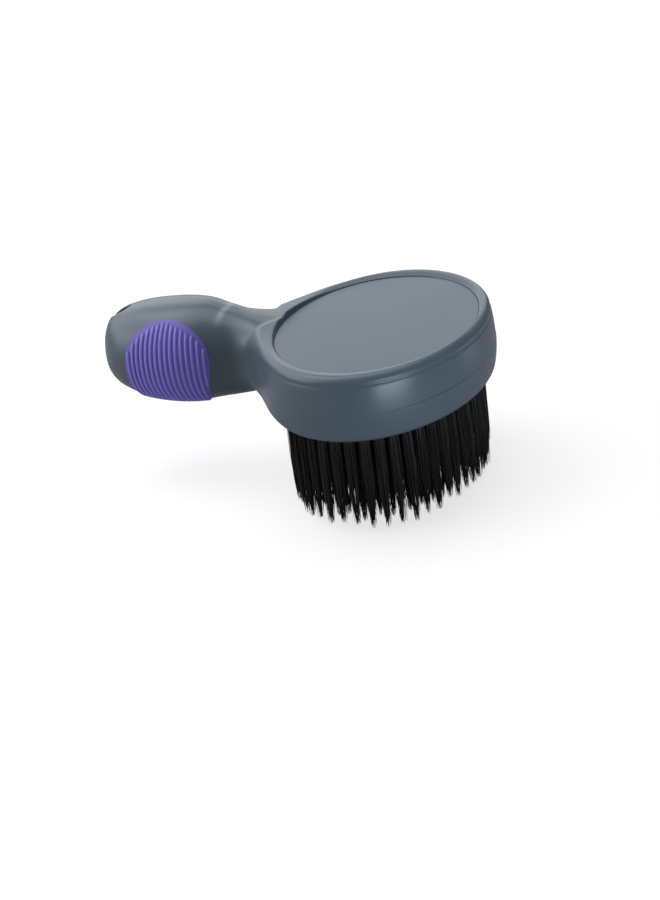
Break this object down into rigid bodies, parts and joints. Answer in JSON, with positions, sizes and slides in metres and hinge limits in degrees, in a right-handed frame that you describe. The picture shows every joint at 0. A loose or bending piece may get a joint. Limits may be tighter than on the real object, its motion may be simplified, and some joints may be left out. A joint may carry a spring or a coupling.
{
  "type": "bristle brush",
  "caption": "Palm-grip grooming brush: short rounded handle with a soft wrap-under grip and a hang hole, broad oval head, and long stiff bristle tufts.",
  "frame": {"origin": "below the middle of the brush's length and width, on the plane that the bristle tips touch", "axes": "+X from the end of the handle towards the front of the head, +Z from the bristle tips towards the back panel"},
  "size_m": [0.1478, 0.1058, 0.0662],
  "materials": {
    "shell": "satin slate-grey moulded plastic",
    "panel": "satin slate-grey moulded plastic, slightly lighter",
    "grip": "soft purple elastomer, ribbed",
    "block": "dark moulded plastic",
    "bristle": "black nylon filament with a soft sheen"
  },
  "bodies": {
    "root": {"upper_shell": "shell", "lower_shell": "shell", "back_panel": "panel", "grip_saddle": "grip", "tuft_block": "block", "tuft_strip_1a": "bristle", "tuft_strip_1b": "bristle", "tuft_strip_1c": "bristle", "tuft_strip_1d": "bristle", "tuft_strip_1e": "bristle", "tuft_strip_1f": "bristle", "tuft_strip_2a": "bristle", "tuft_strip_2b": "bristle", "tuft_strip_2c": "bristle", "tuft_strip_2d": "bristle", "tuft_strip_2e": "bristle", "tuft_strip_3a": "bristle", "tuft_strip_3b": "bristle", "tuft_strip_3c": "bristle", "tuft_strip_3d": "bristle", "tuft_strip_4a": "bristle", "tuft_strip_4b": "bristle", "tuft_strip_4c": "bristle", "tuft_strip_5a": "bristle", "tuft_strip_5b": "bristle", "tuft_strip_6a": "bristle", "tuft_strip_7a": "bristle"}
  },
  "joints": []
}
